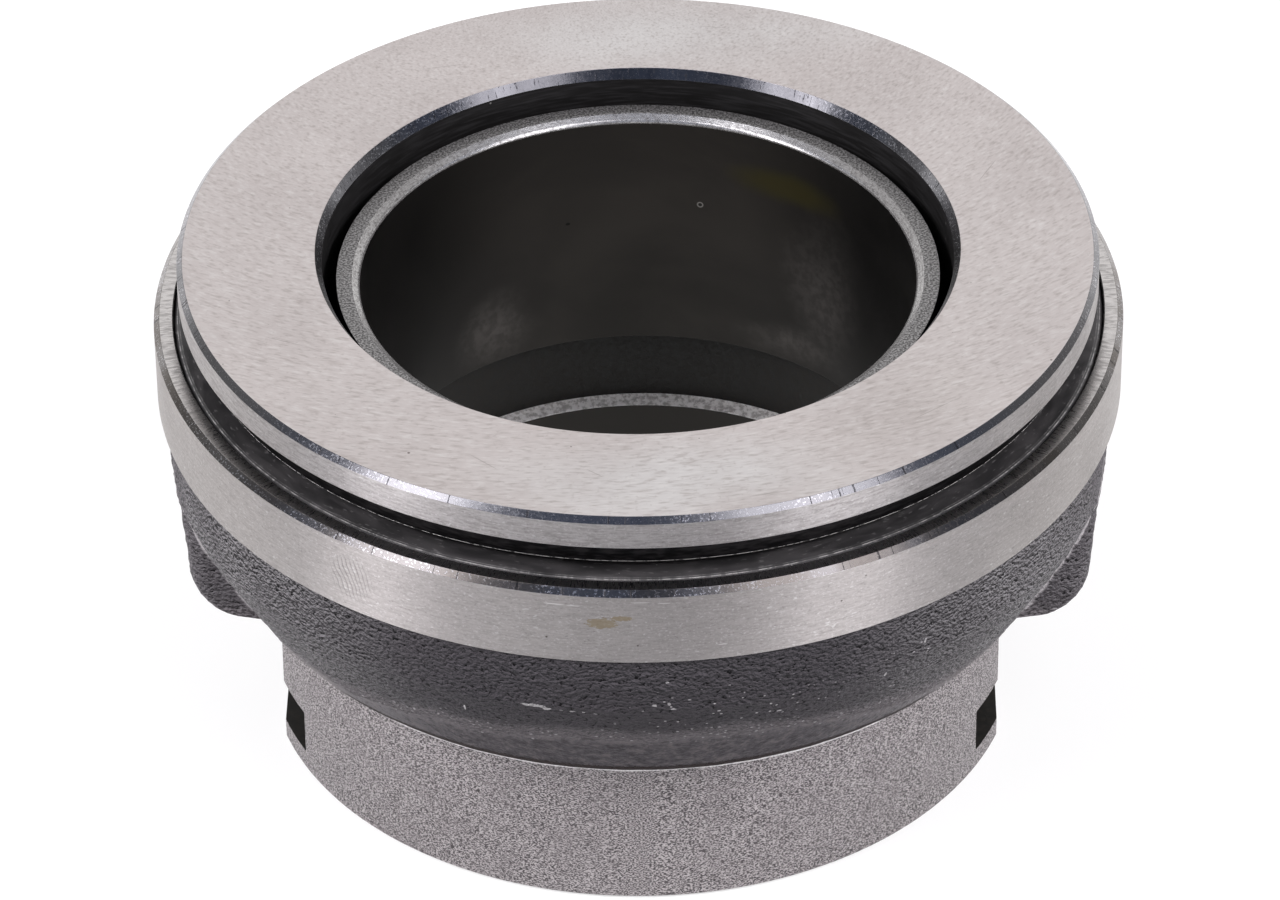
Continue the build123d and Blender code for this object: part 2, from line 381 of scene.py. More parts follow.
class Surface(Graph):
    """The node graph of one material, in the frame's own coordinates and in metres."""

    def __init__(self, name, metallic=0.0, roughness=0.5):
        self.material = bpy.data.materials.new(name)
        self.material.use_nodes = True
        super().__init__(self.material.node_tree, "Object")
        self.shader = self.nodes["Principled BSDF"]
        self.shader.inputs["Metallic"].default_value = metallic
        self.shader.inputs["Roughness"].default_value = roughness
        self.r = self.length(self.x, self.y)

    def length(self, x, y):
        return self.math("SQRT", self.math("ADD", self.times(x, x), self.times(y, y)))

    def vector(self, x, y, z):
        node = self.nodes.new("ShaderNodeCombineXYZ")
        for socket, value in zip(node.inputs, (x, y, z)):
            self.feed(socket, value)
        return node.outputs[0]

    def mapped(self, place, turn, size):
        """The surface's place from a point, turned about the axis, in units of the sizes given."""
        node = self.nodes.new("ShaderNodeMapping")
        node.vector_type = "TEXTURE"
        node.inputs["Location"].default_value = place
        node.inputs["Rotation"].default_value = (0, 0, turn)
        node.inputs["Scale"].default_value = size
        self.links.new(self.place, node.inputs["Vector"])
        return node.outputs[0]

    def stretched(self, x, y, z):
        """The surface's place with so many features a metre along each direction."""
        return self.mapped((0, 0, 0), 0, (1 / x, 1 / y, 1 / z))

    def around(self, along, across, up=0.0):
        """A place with features along the circle, in a radian, and outwards and up the axis, in a metre."""
        depth = self.math("ADD", self.times(self.r, across), self.times(self.z, up))
        return self.vector(
            self.times(self.math("DIVIDE", self.x, self.r), along),
            self.times(self.math("DIVIDE", self.y, self.r), along),
            depth,
        )

    def noise(self, place, scale=1.0, detail=2.0, roughness=0.5, distortion=0.0):
        node = self.nodes.new("ShaderNodeTexNoise")
        names = ("Vector", "Scale", "Detail", "Roughness", "Distortion")
        for name, value in zip(names, (place, scale, detail, roughness, distortion)):
            self.feed(node.inputs[name], value)
        return node.outputs["Fac"]

    def specks(self, place, scale, size, share):
        """Small round spots in a share of the cells: 1 inside them and 0 elsewhere."""
        node = self.nodes.new("ShaderNodeTexVoronoi")
        self.links.new(place, node.inputs["Vector"])
        node.inputs["Scale"].default_value = scale
        chance = self.nodes.new("ShaderNodeSeparateColor")
        self.links.new(node.outputs["Color"], chance.inputs[0])
        inside = self.ramp(node.outputs["Distance"], size * 0.6, size, 1.0, 0.0)
        return self.times(inside, self.math("LESS_THAN", chance.outputs[0], share))

    def spots(self, marks, ragged=0.0, grain=None, soft=0.25):
        """Oval marks, each (place, half-sizes in mm, turn in degrees): 1 inside them and 0 elsewhere.

        The grain makes their outlines ragged, and soft is the share of a mark over which it fades out.
        """
        union = None
        for place, size, turn in marks:
            node = self.nodes.new("ShaderNodeVectorMath")
            node.operation = "LENGTH"
            placed = self.mapped([v * MM for v in place], math.radians(turn), [v * MM for v in size])
            self.links.new(placed, node.inputs[0])
            reach = node.outputs["Value"]
            if grain is not None:
                reach = self.math("ADD", reach, self.times(grain, ragged))
            inside = self.ramp(reach, 1 - soft + ragged / 2, 1 + ragged / 2, 1.0, 0.0)
            union = inside if union is None else self.math("MAXIMUM", union, inside)
        return union

    def worn(self):
        """The wear stored on the mesh."""
        node = self.nodes.new("ShaderNodeAttribute")
        node.attribute_name = "worn"
        return node.outputs["Fac"]

    def relief(self, height, depth):
        """A bump whose height of 1 is the depth given, in millimetres."""
        node = self.nodes.new("ShaderNodeBump")
        node.inputs["Distance"].default_value = depth * MM
        self.links.new(height, node.inputs["Height"])
        return node.outputs["Normal"]

    def paint(self, base, roughness=None, normal=None):
        """Feeds the shader and returns the finished material."""
        for socket, value in (("Base Color", base), ("Roughness", roughness), ("Normal", normal)):
            if value is not None:
                self.links.new(value, self.shader.inputs[socket])
        return self.material

    def grooved(self, strength):
        """Spreads the highlights across fine grooves that run round the axis."""
        tangent = self.nodes.new("ShaderNodeTangent")
        tangent.direction_type = "RADIAL"
        tangent.axis = "Z"
        self.shader.inputs["Anisotropic"].default_value = strength
        self.shader.inputs["Anisotropic Rotation"].default_value = ACROSS_GROOVES
        self.links.new(tangent.outputs[0], self.shader.inputs["Tangent"])


# Materials

def ground_face():
    """The thrust face: warm light steel, ground in long shallow arcs, with pits and hairline scratches."""
    s = Surface("ground_face", metallic=1.0)
    dx = s.math("SUBTRACT", s.x, GRINDING_CENTRE[0] * MM)
    dy = s.math("SUBTRACT", s.y, GRINDING_CENTRE[1] * MM)
    reach = s.length(dx, dy)
    across = s.math("DIVIDE", dx, reach)
    along = s.math("DIVIDE", dy, reach)
    fine = s.noise(s.vector(s.times(across, 70.0), s.times(along, 70.0), s.times(reach, 3200.0)))
    short = s.noise(s.vector(s.times(across, 32.0), s.times(along, 32.0), s.times(reach, 1500.0)),
                    detail=3, roughness=0.65, distortion=0.2)
    mottle = s.noise(s.place, 80, detail=4, roughness=0.6)
    freckles = s.noise(s.place, 1500, roughness=0.6)
    # A cooler, lighter patch at the front and the back, and a darker one at the right front
    cool = s.spots([((3, -43, FACE), (24, 10, 9), 4), ((4, 42, FACE), (30, 10, 9), 0)], 0.8, mottle, soft=0.9)
    darker_patch = s.spots([((28, -31, FACE), (14, 10, 9), 42)], 0.8, mottle, soft=0.9)
    base = s.mix(cool, colour(208, 200, 199), colour(214, 210, 210))
    base = s.mix(s.times(darker_patch, 0.8), base, colour(203, 195, 193))
    base = s.mix(s.ramp(mottle, 0.35, 0.7, 0.0, 0.3), base, colour(205, 196, 194))
    base = s.mix(s.ramp(short, 0.52, 0.72, 0.0, 0.34), base, colour(182, 173, 170))
    base = s.mix(s.ramp(short, 0.46, 0.28, 0.0, 0.34), base, colour(226, 222, 221))
    base = s.mix(s.ramp(fine, 0.5, 0.75, 0.0, 0.55), base, colour(170, 161, 158))
    base = s.mix(s.ramp(fine, 0.46, 0.28, 0.0, 0.4), base, colour(228, 224, 223))
    base = s.mix(s.ramp(freckles, 0.58, 0.75, 0.0, 0.3), base, colour(168, 158, 155))
    hairs = s.spots([
        ((-15.5, -39.5, FACE), (2.2, 0.05, 5), -42), ((-4.0, -41.5, FACE), (1.2, 0.05, 5), -38),
        ((14.0, -45.0, FACE), (2.6, 0.04, 5), 14), ((31.0, -30.5, FACE), (3.2, 0.05, 5), 38),
        ((-37.0, -18.0, FACE), (2.4, 0.05, 5), -22), ((38.0, 14.0, FACE), (2.6, 0.05, 5), 64),
        ((-22.0, 35.0, FACE), (3.0, 0.05, 5), 12), ((8.0, 43.0, FACE), (2.2, 0.05, 5), -8),
    ])
    base = s.mix(s.times(hairs, 0.5), base, colour(146, 138, 134))
    pits = s.math("MAXIMUM", s.specks(s.place, 300, 0.055, 0.10), s.specks(s.place, 900, 0.09, 0.03))
    base = s.mix(s.times(pits, 0.75), base, colour(84, 72, 67))
    height = s.math("ADD", s.times(fine, 0.5), s.times(short, 0.8))
    height = s.math("SUBTRACT", height, s.math("ADD", hairs, s.times(pits, 2.0)))
    return s.paint(base, s.ramp(mottle, 0.3, 0.7, 0.38, 0.46), s.relief(height, 0.002))


def polished_chamfer(name, shade, glint, calm):
    """A narrow ground chamfer, flecked where it isn't in one of the calm marks."""
    s = Surface(name, metallic=1.0)
    fleck = s.noise(s.place, 3800, roughness=0.6)
    drift = s.noise(s.around(6, 0, 0), detail=3)
    base = s.mix(s.ramp(drift, 0.42, 0.62), shade, glint)
    flecks = s.times(s.ramp(fleck, 0.56, 0.64), s.ramp(drift, 0.38, 0.6, 0.3, 1.0),
                     s.math("SUBTRACT", 1.0, s.spots(calm, soft=0.5)))
    base = s.mix(s.times(flecks, 0.85), base, colour(218, 217, 222))
    nicks = s.times(s.ramp(s.noise(s.around(150, 600, 600)), 0.64, 0.67), s.ramp(fleck, 0.3, 0.5))
    base = s.mix(s.times(nicks, 0.8), base, colour(38, 36, 40))
    height = s.math("SUBTRACT", s.times(fleck, 0.5), nicks)
    return s.paint(base, s.ramp(fleck, 0.4, 0.7, 0.20, 0.28), s.relief(height, 0.005))


def ground_side(name, light, dark, streaks, marks=(), chatter=None):
    """An outer surface ground round the axis: neutral steel with a granular sparkle and short scratches."""
    s = Surface(name, metallic=1.0)
    s.grooved(0.95)
    lines = s.noise(s.around(30, 0, 4200), detail=3, roughness=0.65)
    sparkle = s.noise(s.around(150, 4000, 5200), roughness=0.65)
    drift = s.noise(s.place, 60, detail=3)
    base = s.mix(s.ramp(lines, 0.36, 0.70, 0.0, streaks), light, dark)
    base = s.mix(s.ramp(drift, 0.4, 0.7, 0.0, 0.3), base, dark)
    base = s.mix(s.ramp(sparkle, 0.54, 0.72, 0.0, 0.5), base, colour(226, 224, 224))
    base = s.mix(s.ramp(sparkle, 0.42, 0.28, 0.0, 0.4), base, colour(124, 118, 116))
    scratches = s.ramp(s.noise(s.around(70, 0, 2600), detail=1), 0.70, 0.74)
    base = s.mix(s.times(scratches, 0.5), base, colour(228, 227, 226))
    pits = s.specks(s.place, 420, 0.07, 0.05)
    base = s.mix(s.times(pits, 0.6), base, colour(92, 84, 80))
    for tint, strength, ragged, spots in marks:
        base = s.mix(s.times(s.spots(spots, ragged, sparkle), strength), base, tint)
    height = s.math("ADD", s.times(lines, 0.45), s.times(sparkle, 0.75))
    height = s.math("SUBTRACT", height, s.times(pits, 1.5))
    if chatter:
        angle, height_mm, size, pitch = chatter
        sideways, _, upwards = s.split(s.mapped((0, 0, 0), math.radians(angle), (MM, MM, MM)))
        slant = s.math("ADD", sideways, s.times(upwards, 0.35))
        phase = s.math("ADD", s.times(slant, 2 * math.pi / pitch), s.times(s.noise(s.place, 260), 14.0))
        within = s.spots([mark(angle, BAND, height_mm, size)], 0.8, drift, soft=0.7)
        wave = s.times(s.math("SINE", phase), within)
        base = s.mix(s.ramp(wave, 0.2, 1.0, 0.0, 0.4), base, colour(110, 105, 104))
        height = s.math("ADD", height, s.times(wave, 0.35))
    return s.paint(base, s.ramp(drift, 0.3, 0.7, 0.43, 0.49), s.relief(height, 0.011))


def dark_steel_and_painted_shade():
    """The hardened undersides of the ring and the faces inside the cup: dark steel, painted darker still for
    the shade there.
    """
    s = Surface("dark_steel_and_painted_shade", metallic=0.9)
    lines = s.noise(s.around(30, 3000, 3000))
    base = s.mix(s.ramp(lines, 0.35, 0.7), colour(34, 33, 34), colour(56, 54, 55))
    return s.paint(base, s.ramp(lines, 0.3, 0.7, 0.3, 0.42), s.relief(lines, 0.004))


def forged_skin():
    """The as-forged surface: charcoal scale, pitted like leather, with bright nicks, a light seam, and
    painted light and shade on the lumps, the sides, the ridge and the foot.
    """
    s = Surface("forged_skin")
    s.shader.inputs["Specular IOR Level"].default_value = 0.06
    worn = s.worn()
    wide = s.noise(s.place, 110, detail=3)
    lumps, above = (s.noise(s.mapped((0, 0, shift), 0, LUMP_SIZE), distortion=0.2)
                    for shift in (0, -LIT_SHIFT))
    # Painted light and shade: each lump is coloured lighter on its upper flank and darker on its lower one,
    # as if lit from above
    lit = s.ramp(s.math("SUBTRACT", lumps, above), -0.08, 0.08)
    dimples = s.noise(s.stretched(2300, 2300, 4300), detail=1, distortion=0.1)
    grain = s.noise(s.place, 4200, roughness=0.6)
    mottle = s.noise(s.place, 1000, detail=4, roughness=0.65)
    fall = s.times(s.math("POWER", s.math("DIVIDE", s.x, s.r), 2.0), STEP_FALL * MM)
    step = s.math("SUBTRACT", STEP_Z * MM, fall)
    level = s.math("ADD", s.math("SUBTRACT", s.z, step), s.times(s.math("SUBTRACT", wide, 0.5), 0.004))
    smooth = s.ramp(level, -0.0012, -0.0002, 1.0, 0.0)
    ridge = s.band(level, -0.0026, -0.0008, 0.0002, 0.0022)
    open_pits = s.ramp(lumps, 0.33, 0.37, 1.0, 0.0)
    small_pits = s.ramp(dimples, 0.29, 0.33, 1.0, 0.0)
    pits = s.math("MAXIMUM", open_pits, s.times(small_pits, 0.8))
    rough = s.ramp(smooth, 0.0, 1.0, 1.0, 0.3)
    # Painted light: the sides get a far lighter lit colour than the front, the lugs a calmer pair, and the
    # smooth strip takes the lit colour
    sides = s.ramp(s.math("ABSOLUTE", s.math("DIVIDE", s.x, s.r)), 0.35, 0.8)
    reach = s.math("ABSOLUTE", s.x)
    lug = s.times(s.ramp(reach, 0.0360, 0.0400), s.ramp(s.math("ABSOLUTE", s.y), 0.0188, 0.0200, 1.0, 0.0))
    shade = s.mix(sides, colour(53, 52, 55), colour(52, 50, 52))
    light = s.mix(sides, colour(80, 77, 81), colour(140, 138, 140))
    shade = s.mix(lug, shade, colour(66, 63, 66))
    light = s.mix(lug, light, colour(114, 111, 114))
    base = s.mix(s.math("MAXIMUM", lit, smooth), shade, light)
    base = s.mix(s.ramp(wide, 0.35, 0.7, 0.0, 0.35), base, colour(74, 70, 74))
    base = s.mix(s.times(pits, rough, 0.95), base, colour(17, 16, 18))
    # Painted highlight: the ridge above the smooth strip is lighter where the lumps' upper flanks are lit
    base = s.mix(s.times(ridge, s.ramp(lit, 0.35, 0.75, 0.25, 0.8)), base, colour(128, 123, 126))
    base = s.mix(s.times(smooth, s.ramp(mottle, 0.48, 0.66, 0.0, 0.6)), base, colour(116, 110, 111))
    base = s.mix(s.times(smooth, s.ramp(mottle, 0.48, 0.36, 0.0, 0.6)), base, colour(50, 46, 48))
    # Painted highlight, partly burnished wear: lighter low on the foot at the sides, out to the outline
    outer = s.band(reach, 0.0300, 0.0335, 0.0405, 0.0420)
    foot = s.ramp(s.math("ADD", s.z, s.times(s.math("SUBTRACT", wide, 0.5), 0.003)), 0.0212, 0.0236, 1.0, 0.0)
    base = s.mix(s.times(outer, foot, s.ramp(grain, 0.35, 0.6, 0.5, 1.0)), base, colour(132, 127, 128))
    rubbed = s.times(s.ramp(worn, 0.12, 0.5), s.ramp(grain, 0.3, 0.5, 0.5, 0.9))
    base = s.mix(rubbed, base, colour(186, 182, 184))
    # Painted shade: a dark reddish line in the crevice where the foot meets the tube, strongest at the front
    uneven = s.math("ADD", s.z, s.times(s.math("SUBTRACT", grain, 0.5), 0.0012))
    crevice = s.ramp(uneven, 0.0207, 0.0210, 1.0, 0.0)
    inner = s.ramp(reach, 0.0300, 0.0320, 0.95, 0.1)
    base = s.mix(s.times(crevice, inner), base, colour(34, 25, 24))
    flecks = s.times(s.specks(s.around(70, 0, 2000), 1.0, 0.24, 0.3),
                     s.spots([mark(11, 51, 31, (17, 12, 6.5)), mark(34, 51, 32, (6, 9, 6)),
                              mark(-20, 48, 29, (6, 9, 2.5))], 0.8, wide, soft=0.6))
    ridge_flecks = s.times(s.specks(s.around(70, 0, 1700), 1.0, 0.3, 0.35), ridge, 0.8)
    flecks = s.math("MAXIMUM", flecks, ridge_flecks)
    nicks = s.spots([
        mark(-11.8, 52.2, 33.45, (1.5, 2, 0.26)), mark(-10.3, 52.2, 33.2, (0.6, 2, 0.28)),
        mark(-8.5, 52.3, 33.2, (0.25, 2, 0.10)), mark(-7.3, 52.3, 33.05, (0.45, 2, 0.13)),
        mark(-6.0, 52.3, 33.0, (0.25, 2, 0.12)), mark(-4.6, 52.3, 32.9, (0.35, 2, 0.07)),
        mark(-20.6, 51.0, 30.7, (0.15, 2, 0.4)), mark(2.2, 52.2, 34.3, (0.3, 2, 0.22)),
        mark(3.9, 52.2, 34.5, (0.2, 2, 0.26)), mark(4.4, 52.2, 33.7, (0.35, 2, 0.14)),
        mark(3.7, 52.2, 37.6, (0.22, 2, 0.12)), mark(6.3, 52.2, 34.9, (0.25, 2, 0.10)),
        mark(9.7, 52.0, 32.8, (0.2, 2, 0.14)), mark(17.1, 51.2, 31.1, (0.3, 2, 0.14)),
        mark(30.5, 51.7, 32.5, (0.18, 2, 0.35)), mark(35.5, 52.2, 35.5, (0.16, 2, 0.35)),
    ], 1.6, grain)
    bright = s.math("MAXIMUM", nicks, flecks)
    base = s.mix(s.times(bright, 0.8), base, colour(196, 193, 195))
    height = s.math("SUBTRACT", s.math("ADD", lumps, s.times(grain, 0.06)), s.times(pits, 0.15))
    height = s.times(height, rough, s.ramp(sides, 0.0, 1.0, 1.0, 1.7), s.ramp(lug, 0.0, 1.0, 1.0, 0.5))
    return s.paint(base, s.ramp(bright, 0.0, 1.0, 0.46, 0.3), s.relief(height, 0.5))


def turned_tube():
    """The turned and phosphated tube: light grey with a fine, high-contrast grain."""
    s = Surface("turned_tube", metallic=0.7)
    grain = s.noise(s.around(180, 6600, 8600), detail=1, roughness=0.6)
    blotch = s.noise(s.place, 200, detail=4, roughness=0.65)
    base = s.mix(s.ramp(grain, 0.38, 0.60), colour(188, 182, 183), colour(78, 74, 76))
    base = s.mix(s.ramp(blotch, 0.42, 0.7, 0.0, 0.3), base, colour(132, 126, 128))
    edge = s.math("ADD", s.z, s.times(s.math("SUBTRACT", blotch, 0.5), 0.0005))
    edge = s.math("ADD", edge, s.times(s.math("POWER", s.math("DIVIDE", s.x, s.r), 2.0), 0.0012))
    edge_line = s.band(edge, 0.01748, 0.01756, 0.01785, 0.01805)
    base = s.mix(s.times(edge_line, s.ramp(grain, 0.35, 0.6, 1.0, 0.7)), base, colour(240, 238, 238))
    pits = s.specks(s.place, 350, 0.10, 0.05)
    base = s.mix(s.times(pits, 0.8), base, colour(50, 46, 45))
    height = s.math("SUBTRACT", grain, pits)
    return s.paint(base, s.ramp(grain, 0.3, 0.7, 0.42, 0.55), s.relief(height, 0.03))


def dark_bore():
    """The guide bore: dark satin with soft, oily patches, painted lighter towards the top and in soft light
    patches, and painted darker at the sides.
    """
    s = Surface("dark_bore", metallic=0.75)
    film = s.noise(s.stretched(45, 45, 60), detail=4, distortion=0.6)
    lines = s.noise(s.around(20, 0, 5000))
    speckle = s.noise(s.place, 900, detail=3, roughness=0.6)
    # Painted light and shade: lighter towards the top of the bore and darker at its sides
    sides = s.ramp(s.math("ABSOLUTE", s.x), 0.010, 0.027)
    base = s.mix(s.ramp(s.z, 0.030, 0.048), colour(56, 53, 50), colour(72, 68, 64))
    base = s.mix(sides, base, colour(34, 33, 32))
    base = s.mix(s.ramp(film, 0.35, 0.65, 0.0, 0.6), base, colour(48, 46, 44))
    # Painted light: soft light patches on the far wall of the bore
    haze = s.spots([mark(137, 30, 34, (7, 4, 12)), mark(146, 30, 26, (9, 4, 4)),
                    mark(213, 30, 28, (7, 4, 7))], 1.6, film, soft=0.9)
    base = s.mix(s.times(haze, s.ramp(speckle, 0.35, 0.65, 0.2, 0.4)), base, colour(120, 115, 112))
    oil = s.spots([mark(148, 30, 46.8, (8.5, 3, 2.6))], 1.4, film, soft=0.8)
    base = s.mix(s.times(oil, 0.75), base, colour(80, 74, 40))
    halo = s.spots([mark(167.3, 30, 41.8, (0.42, 3, 0.42))])
    base = s.mix(s.times(halo, 0.8), base, colour(170, 166, 162))
    dot = s.spots([mark(167.3, 30, 41.8, (0.26, 3, 0.26)), mark(196, 30, 39.5, (0.3, 3, 0.2))])
    base = s.mix(s.times(dot, 0.9), base, colour(20, 19, 18))
    height = s.math("ADD", lines, s.times(speckle, 0.8))
    return s.paint(base, s.ramp(film, 0.3, 0.7, 0.30, 0.42), s.relief(height, 0.003))


def speckled_rim():
    """The end of the sleeve: speckled mid grey."""
    s = Surface("speckled_rim", metallic=0.85)
    grain = s.noise(s.place, 4200, roughness=0.65)
    base = s.mix(s.ramp(grain, 0.4, 0.62), colour(82, 80, 80), colour(164, 162, 162))
    return s.paint(base, s.ramp(grain, 0.3, 0.7, 0.34, 0.46), s.relief(grain, 0.03))


def bright_cut():
    """A freshly cut narrow edge: bright and scratched round the axis."""
    s = Surface("bright_cut", metallic=0.82)
    lines = s.noise(s.around(60, 4000, 4000), roughness=0.6)
    grain = s.noise(s.place, 2800)
    base = s.mix(s.ramp(lines, 0.35, 0.7), colour(222, 220, 219), colour(172, 169, 168))
    base = s.mix(s.ramp(grain, 0.55, 0.7, 0.0, 0.5), base, colour(118, 114, 112))
    return s.paint(base, s.ramp(lines, 0.3, 0.7, 0.20, 0.30), s.relief(lines, 0.010))


def ledge_cut():
    """The ledge at the top of the lower land: bare, mottled metal, painted near white: partly its own colour
    and partly a painted highlight.
    """
    s = Surface("ledge_cut", metallic=0.5)
    grain = s.noise(s.place, 1500, detail=3, roughness=0.65)
    base = s.mix(s.ramp(grain, 0.4, 0.65), colour(254, 251, 249), colour(186, 181, 178))
    return s.paint(base, s.ramp(grain, 0.3, 0.7, 0.42, 0.55), s.relief(grain, 0.03))


def worn_edge_and_glint(name, light, share):
    """A broken edge: worn bright along a share of it, in a thin uneven line that is partly wear and partly a
    painted glint.
    """
    s = Surface(name)
    grain = s.noise(s.around(90, 1500, 1500), detail=3, roughness=0.65)
    base = s.mix(s.ramp(grain, 0.55 - share / 4, 0.65 - share / 4), colour(44, 43, 43), light)
    return s.paint(base, s.ramp(grain, 0.3, 0.7, 0.45, 0.35), s.relief(grain, 0.01))


def seal_skin():
    """The seal case: charcoal coating, smeared with oil, with thin light lines along its bend that are partly
    rubbed coating and partly a painted glint.
    """
    s = Surface("seal_skin")
    smear = s.noise(s.around(7, 500, 0), detail=4, roughness=0.6, distortion=0.5)
    streaks = s.noise(s.around(40, 2600, 0))
    specks = s.specks(s.place, 1300, 0.12, 0.04)
    base = s.mix(s.ramp(smear, 0.35, 0.7), colour(42, 41, 42), colour(66, 64, 65))
    base = s.mix(s.ramp(streaks, 0.62, 0.72, 0.0, 0.3), base, colour(140, 138, 138))
    base = s.mix(s.times(specks, 0.6), base, colour(150, 149, 149))
    # Painted glint, partly rubbed coating: thin light lines along the case's bend
    bend = s.band(s.r, 0.04970, 0.04974, 0.04980, 0.04984)
    inner_bend = s.band(s.r, 0.04945, 0.04949, 0.04954, 0.04958)
    rubbed = s.noise(s.around(34, 0, 0), detail=4, roughness=0.75)
    line = s.math("MAXIMUM", bend, s.times(inner_bend, 0.5))
    base = s.mix(s.times(line, s.ramp(rubbed, 0.44, 0.6, 0.12, 0.7)), base, colour(168, 166, 165))
    return s.paint(base, s.ramp(smear, 0.3, 0.7, 0.30, 0.5), s.relief(s.math("ADD", smear, streaks), 0.01))


def rubber():
    """The seal lips: matte black rubber."""
    s = Surface("rubber", roughness=0.6)
    grain = s.noise(s.place, 2500)
    return s.paint(s.mix(grain, colour(20, 20, 21), colour(34, 34, 35)), normal=s.relief(grain, 0.01))


def race_steel():
    """The hardened stationary race: bright, ground round the axis."""
    s = Surface("race_steel", metallic=1.0)
    s.grooved(0.4)
    lines = s.noise(s.around(26, 4500, 4500), detail=3)
    base = s.mix(s.ramp(lines, 0.3, 0.7), colour(190, 189, 188), colour(150, 148, 146))
    return s.paint(base, s.ramp(lines, 0.3, 0.7, 0.2, 0.3), s.relief(lines, 0.003))


def ball_steel():
    """The balls: mirror-bright, with the faintest haze."""
    s = Surface("ball_steel", metallic=1.0)
    haze = s.noise(s.place, 900, detail=3)
    base = s.mix(haze, colour(205, 206, 208), colour(190, 190, 192))
    return s.paint(base, s.ramp(haze, 0.3, 0.7, 0.05, 0.1))


def cage_brass():
    """The machined brass cage."""
    s = Surface("cage_brass", metallic=1.0)
    lines = s.noise(s.around(30, 3500, 3500))
    base = s.mix(s.ramp(lines, 0.3, 0.7), colour(196, 160, 92), colour(168, 132, 70))
    return s.paint(base, s.ramp(lines, 0.3, 0.7, 0.25, 0.38), s.relief(lines, 0.006))


def ring_bore():
    """The bore of the thrust ring: dark steel, painted darker for the shade inside the bore, with faint
    rubbed streaks.
    """
    s = Surface("ring_bore", metallic=0.5)
    lines = s.noise(s.around(9, 0, 3600), detail=3)
    base = s.mix(s.ramp(lines, 0.4, 0.7), colour(40, 39, 39), colour(58, 57, 58))
    flecks = s.specks(s.place, 900, 0.14, 0.03)
    base = s.mix(s.times(flecks, 0.6), base, colour(190, 188, 186))
    return s.paint(base, s.ramp(lines, 0.3, 0.7, 0.3, 0.42), s.relief(lines, 0.004))


def lip_land():
    """The end of the cup's wall: turned, dark from handling, with fine scratches across it."""
    s = Surface("lip_land", metallic=1.0)
    scratches = s.noise(s.around(190, 700, 0), detail=3, roughness=0.6, distortion=0.5)
    base = s.mix(s.ramp(scratches, 0.42, 0.66), colour(206, 202, 201), colour(168, 164, 163))
    return s.paint(base, s.ramp(scratches, 0.3, 0.7, 0.24, 0.36), s.relief(scratches, 0.008))


def black_relief():
    """Recesses coloured near black: the grease relief and the clip grooves."""
    s = Surface("black_relief", metallic=0.2)
    grain = s.noise(s.place, 1800, detail=3, roughness=0.6)
    base = s.mix(s.ramp(grain, 0.35, 0.7), colour(22, 21, 19), colour(40, 37, 34))
    return s.paint(base, s.ramp(grain, 0.3, 0.7, 0.5, 0.65), s.relief(grain, 0.02))


# Pieces

def thrust_ring():
    """The rotating ring, with its ground face, chamfers, skirt and raceway."""
    face, chamfer, side, black, edge, bore, race, inner_chamfer = range(8)
    fine = EDGE_ROUND
    centre = np.array(RACE_CENTRE)
    start = math.pi + math.asin(math.sqrt(RACE_ROUND ** 2 - (centre[0] - HUB_LIP) ** 2) / RACE_ROUND)
    end = math.acos((HUB_SHOULDER - centre[0]) / RACE_ROUND)
    groove = [
        (*(centre + RACE_ROUND * np.array((math.cos(a), math.sin(a)))), 0, race)
        for a in np.linspace(start, end, RACE_STATIONS)
    ]
    corners = [
        (THRUST_BORE + EDGE_BREAK, HUB_FOOT, fine, black),
        (HUB_LIP, HUB_FOOT, fine, black),
        *groove,
        (HUB_SHOULDER, FLANGE_FOOT, fine, black),
        (SKIRT_BORE, FLANGE_FOOT, fine, black),
        (SKIRT_BORE, SKIRT_FOOT, fine, black),
        (SKIRT - EDGE_BREAK, SKIRT_FOOT, fine / 2, edge),
        (SKIRT, SKIRT_FOOT + EDGE_BREAK, fine / 2, edge),
        (SKIRT, SKIRT_FOOT + 1.5 * EDGE_BREAK, 0, black),
        (SKIRT, RIM_FOOT, fine, black),
        (THRUST - EDGE_BREAK, RIM_FOOT, fine / 2, side),
        (THRUST, RIM_FOOT + EDGE_BREAK, fine, side),
        (THRUST, FACE - FACE_CHAMFER, fine, chamfer),
        (THRUST - FACE_CHAMFER, FACE, fine, face),
        (THRUST_BORE + BORE_CHAMFER[0], FACE, fine, inner_chamfer),
        (THRUST_BORE, FACE - BORE_CHAMFER[1], fine, bore),
        (THRUST_BORE, HUB_FOOT + EDGE_BREAK, fine / 2, black),
    ]
    materials = [
        ground_face(),
        polished_chamfer("face_chamfer", colour(148, 147, 150), colour(158, 156, 159), [
            mark(-4, THRUST, FACE, (9, 6, 6)), mark(52, THRUST, FACE, (26, 24, 6)),
            mark(-60, THRUST, FACE, (12, 12, 6))]),
        ground_side("rim_side", colour(200, 196, 195), colour(158, 152, 151), 0.75),
        dark_steel_and_painted_shade(),
        worn_edge_and_glint("skirt_edge", colour(206, 204, 202), 0.5),
        ring_bore(),
        race_steel(),
        polished_chamfer("bore_chamfer", colour(118, 117, 121), colour(146, 145, 149), [
            mark(180, THRUST_BORE, FACE, (30, 20, 6))]),
    ]
    return lathe("thrust_ring_ground", rounded(corners), split_angles(TURNED_COLUMNS), materials,
                 "rotor", "thrust_ring")


